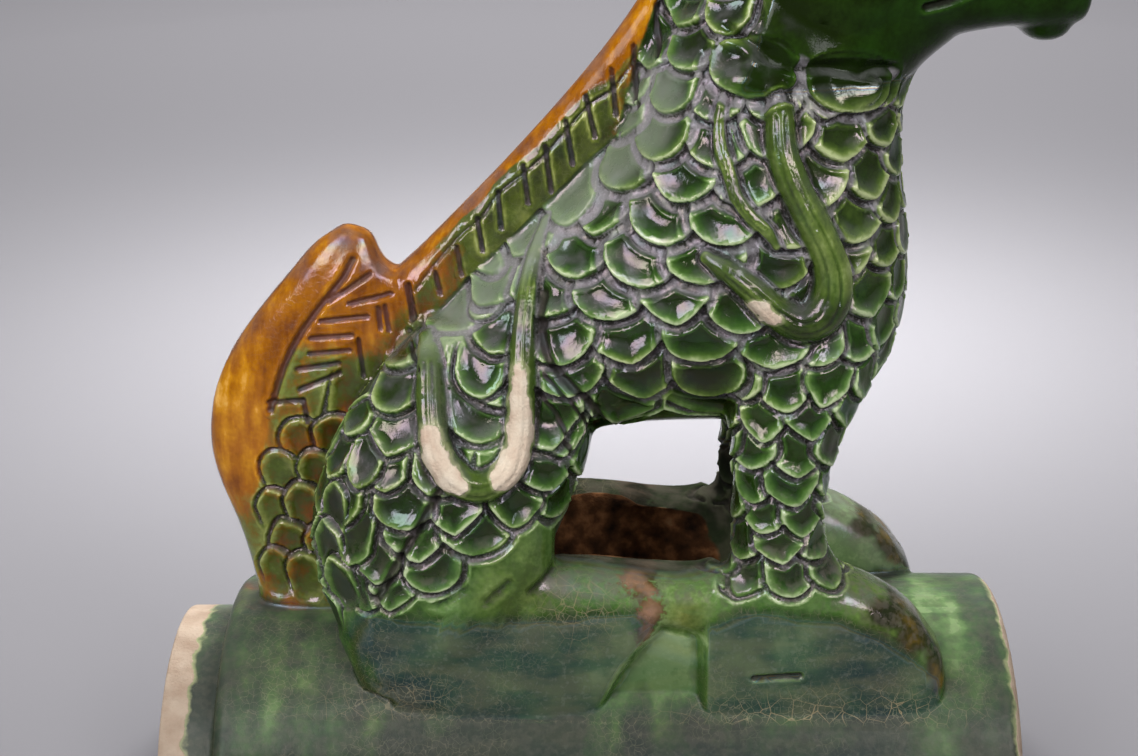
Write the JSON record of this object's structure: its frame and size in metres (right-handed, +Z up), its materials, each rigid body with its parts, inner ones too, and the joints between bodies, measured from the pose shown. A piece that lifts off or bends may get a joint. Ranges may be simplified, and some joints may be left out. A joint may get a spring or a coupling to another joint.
{
  "type": "ridge beast ornament",
  "caption": "Glazed half-round ridge tile with a socket spigot, carrying a seated scaly beast with a flame-shaped tail and a crest along its back.",
  "frame": {"origin": "middle of the part's box, level with the tile's bed edges", "axes": "+X along the tile, from its spigot to its plain end, the way the beast faces; +Y across the tile; +Z up"},
  "size_m": [0.2844, 0.128, 0.3123],
  "materials": {
    "lead_glazed_clay": "glossy"
  },
  "bodies": {
    "root": {"ridge_beast_tile": "lead_glazed_clay"}
  },
  "joints": []
}
